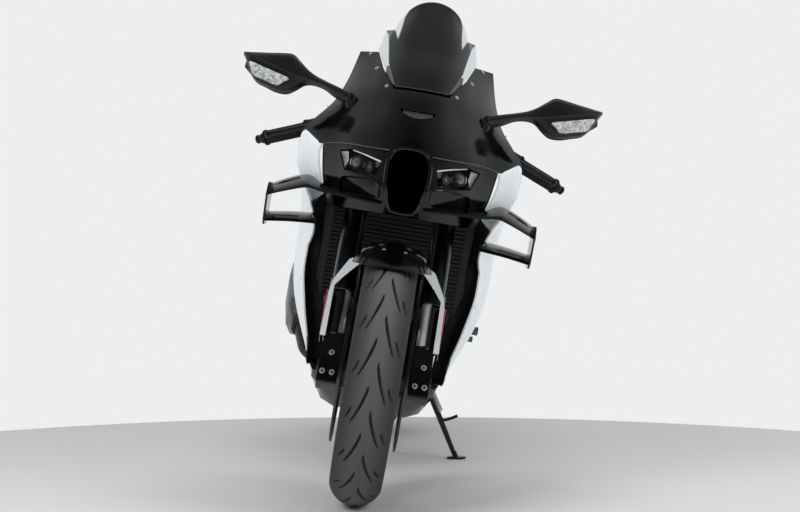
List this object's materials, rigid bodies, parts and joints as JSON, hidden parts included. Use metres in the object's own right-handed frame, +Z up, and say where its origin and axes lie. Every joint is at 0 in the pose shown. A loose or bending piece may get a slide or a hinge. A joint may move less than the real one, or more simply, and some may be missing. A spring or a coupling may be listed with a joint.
{
  "type": "sport motorcycle",
  "caption": "Fully faired sport motorcycle with nose winglets and ram-air duct, leaning on its side stand; steering, wheels and stand move.",
  "frame": {"origin": "on the floor, under the middle of the whole leaning bike's bounding box", "axes": "+Z up, -Y the way the bike faces, +X to the rider's left, which is the side it leans to"},
  "size_m": [0.8432, 2.0693, 1.1938],
  "materials": {
    "black_alloy": "satin black",
    "black_gloss": "gloss",
    "black_matte": "satin",
    "black_steel": "satin",
    "chain_steel": "oiled",
    "clear_lens": "clear",
    "dark_alloy": "satin",
    "disc_steel": "brushed",
    "engine_alloy": "satin",
    "exhaust_steel": "brushed",
    "lamp_lens": "clear",
    "mirror": "polished",
    "radiator": "matte",
    "red_lens": "clear",
    "rubber": "matte",
    "seat_vinyl": "grained",
    "smoked_screen": "smoked",
    "tank_paint": "gloss",
    "tyre": "matte",
    "white_gloss": "gloss"
  },
  "bodies": {
    "chassis": {"chain": "chain_steel", "frame": "black_alloy", "engine": "engine_alloy", "radiator": "radiator", "swingarm": "black_alloy", "axle_and_pivot_bolt": "disc_steel", "rear_caliper": "dark_alloy", "rear_shock": "chain_steel", "exhaust_headers": "exhaust_steel", "silencer": "exhaust_steel", "stand_bracket": "black_steel", "nose_cowl": "black_gloss", "headlights": "lamp_lens", "ram_intake": "black_matte", "windscreen": "smoked_screen", "side_fairing_left": "white_gloss", "side_fairing_right": "white_gloss", "inner_panels": "black_matte", "belly_pan": "black_gloss", "fuel_tank": "tank_paint", "rider_seat": "seat_vinyl", "pillion_seat": "seat_vinyl", "tail_fairing": "white_gloss", "tail_light": "red_lens", "tail_hanger": "black_matte", "winglets": "black_gloss", "mirrors": "black_matte", "mirror_glass": "mirror", "mirror_lamps": "clear_lens", "instrument_panel": "black_matte", "footrests_left": "dark_alloy", "footrests_right": "dark_alloy", "rear_hugger": "black_matte"},
    "steering": {"fork_legs": "dark_alloy", "fork_tubes": "dark_alloy", "front_axle": "disc_steel", "triple_clamps": "black_alloy", "clip_ons": "black_alloy", "grips": "rubber", "levers": "dark_alloy", "front_calipers": "dark_alloy", "front_fender": "black_gloss", "fender_blades": "white_gloss", "front_reflectors": "red_lens"},
    "front_wheel": {"front_tyre": "tyre", "front_rim": "black_alloy", "front_discs": "disc_steel"},
    "rear_wheel": {"rear_tyre": "tyre", "rear_rim": "black_alloy", "rear_disc": "disc_steel", "rear_sprocket": "disc_steel"},
    "side_stand": {"side_stand": "black_steel"}
  },
  "joints": [
    {"name": "steering", "type": "hinge", "parent": "chassis", "child": "steering", "pos_m": [-0.03058, -0.48231, 0.75957], "axis": [0.1511, 0.4226, 0.8936], "range_deg": [-27, 27]},
    {"name": "front_wheel_spin", "type": "hinge", "parent": "steering", "child": "front_wheel", "pos_m": [-0.10904, -0.73654, 0.29568], "axis": [0.986, 0, -0.1668], "continuous": true},
    {"name": "rear_wheel_spin", "type": "hinge", "parent": "chassis", "child": "rear_wheel", "pos_m": [-0.10545, 0.71347, 0.31692], "axis": [0.986, 0, -0.1668], "continuous": true},
    {"name": "side_stand", "type": "hinge", "parent": "chassis", "child": "side_stand", "pos_m": [0.01085, 0.06346, 0.23699], "axis": [0.986, 0, -0.1668], "range_deg": [0, 95]}
  ]
}
